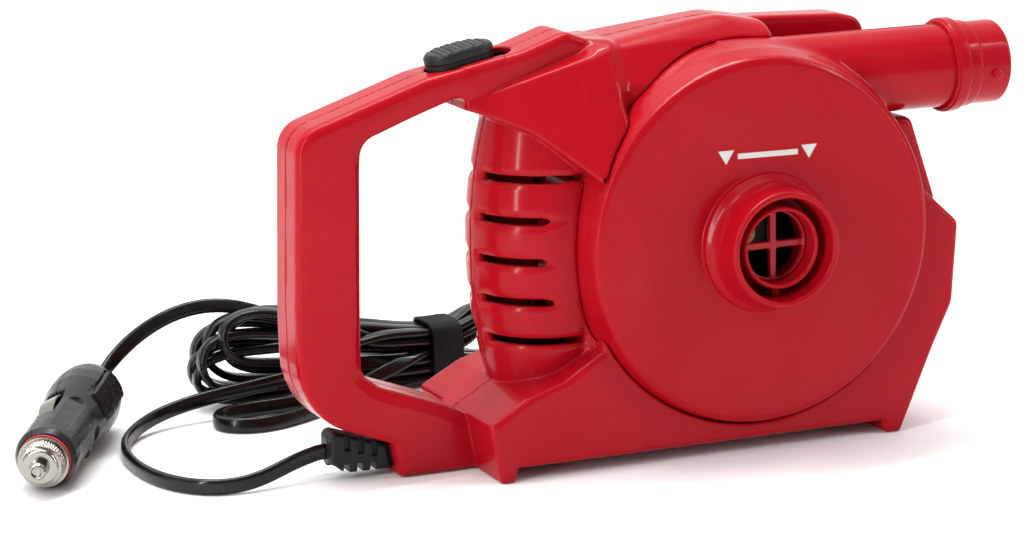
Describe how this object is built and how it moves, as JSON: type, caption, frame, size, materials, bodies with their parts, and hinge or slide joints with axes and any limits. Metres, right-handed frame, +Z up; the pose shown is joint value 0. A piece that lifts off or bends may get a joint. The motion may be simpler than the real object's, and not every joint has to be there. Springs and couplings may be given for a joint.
{
  "type": "electric air mattress pump",
  "caption": "Hand-held 12 V air mattress pump: round fan housing with side outlet pipe and front deflate port, loop handle with sliding switch, cord and accessory plug.",
  "frame": {"origin": "centre of the pump's box on the ground, without its cord and plug", "axes": "+X towards the outlet, along the longest side; +Y away from the round intake face; +Z up"},
  "size_m": [0.3387, 0.171, 0.1453],
  "materials": {
    "red_plastic": "glossy moulded ABS",
    "port_cross": "glossy moulded ABS",
    "fan_plastic": "moulded, dark",
    "brass": "machined",
    "steel": "ground",
    "motor_case": "plated, satin",
    "magnet": "sintered, dull",
    "copper": "copper",
    "carbon": "carbon, dull",
    "black_plastic": "fine matt texture",
    "screw_steel": "zinc plated",
    "rubber": "matt",
    "pale_plastic": "matt",
    "switch_case": "phenolic, dull",
    "red_wire": "PVC",
    "black_wire": "PVC",
    "cord_sheath": "PVC, slightly glossy",
    "plug_plastic": "satin",
    "washer_red": "fibre",
    "nickel": "nickel plated",
    "fuse_glass": "clear"
  },
  "bodies": {
    "housing": {"front_shell": "red_plastic", "rear_shell": "red_plastic", "volute_cover": "red_plastic", "volute_base": "red_plastic", "outlet_nozzle": "red_plastic", "intake_guard": "port_cross", "motor_can": "motor_case", "motor_magnets": "magnet", "motor_end_bell": "black_plastic", "front_bearing": "brass", "rear_bearing": "brass", "brushes": "carbon", "motor_screws": "screw_steel", "motor_cushion": "rubber", "switch_case": "switch_case", "switch_terminals": "copper", "feed_wire": "red_wire", "motor_wire": "red_wire", "return_wire": "black_wire", "strain_relief": "black_plastic", "shell_screws": "screw_steel", "cord_lead": "cord_sheath", "cord_hank": "cord_sheath", "cord_tail": "cord_sheath", "hank_tie": "black_plastic", "plug_left_half": "plug_plastic", "plug_right_half": "plug_plastic", "plug_gland": "rubber", "plug_screw": "screw_steel", "plug_washer": "washer_red", "plug_ring": "nickel", "plug_nut": "nickel", "plug_spring": "nickel"},
    "rotor": {"motor_shaft": "steel", "impeller": "fan_plastic", "impeller_bush": "brass", "armature": "steel", "windings": "copper", "commutator": "copper"},
    "button": {"switch_button": "black_plastic", "switch_slider": "pale_plastic"},
    "tip": {"plug_tip": "nickel", "plug_fuse": "fuse_glass"},
    "left_contact": {"plug_contact_left": "nickel"},
    "right_contact": {"plug_contact_right": "nickel"}
  },
  "joints": [
    {"name": "fan_spin", "type": "hinge", "parent": "housing", "child": "rotor", "pos_m": [0.029, -0.009, 0.0727], "axis": [0, 1, 0], "continuous": true},
    {"name": "switch_slide", "type": "slide", "parent": "housing", "child": "button", "axis": [0.9825, 0, 0.1862], "range_m": [0, 0.0055]},
    {"name": "tip_press", "type": "slide", "parent": "housing", "child": "tip", "axis": [0.4691, 0.8823, 0.0384], "range_m": [0, 0.0025], "stiffness_N_per_m": 2000, "springref_m": -0.002, "deforming": ["plug_spring"]},
    {"name": "left_contact_press", "type": "slide", "parent": "housing", "child": "left_contact", "axis": [0.4169, -0.1829, -0.8903], "range_m": [0, 0.0014], "stiffness_N_per_m": 2000, "springref_m": -0.0003},
    {"name": "right_contact_press", "type": "slide", "parent": "housing", "child": "right_contact", "axis": [-0.4169, 0.1829, 0.8903], "range_m": [0, 0.0014], "stiffness_N_per_m": 2000, "springref_m": -0.0003}
  ]
}
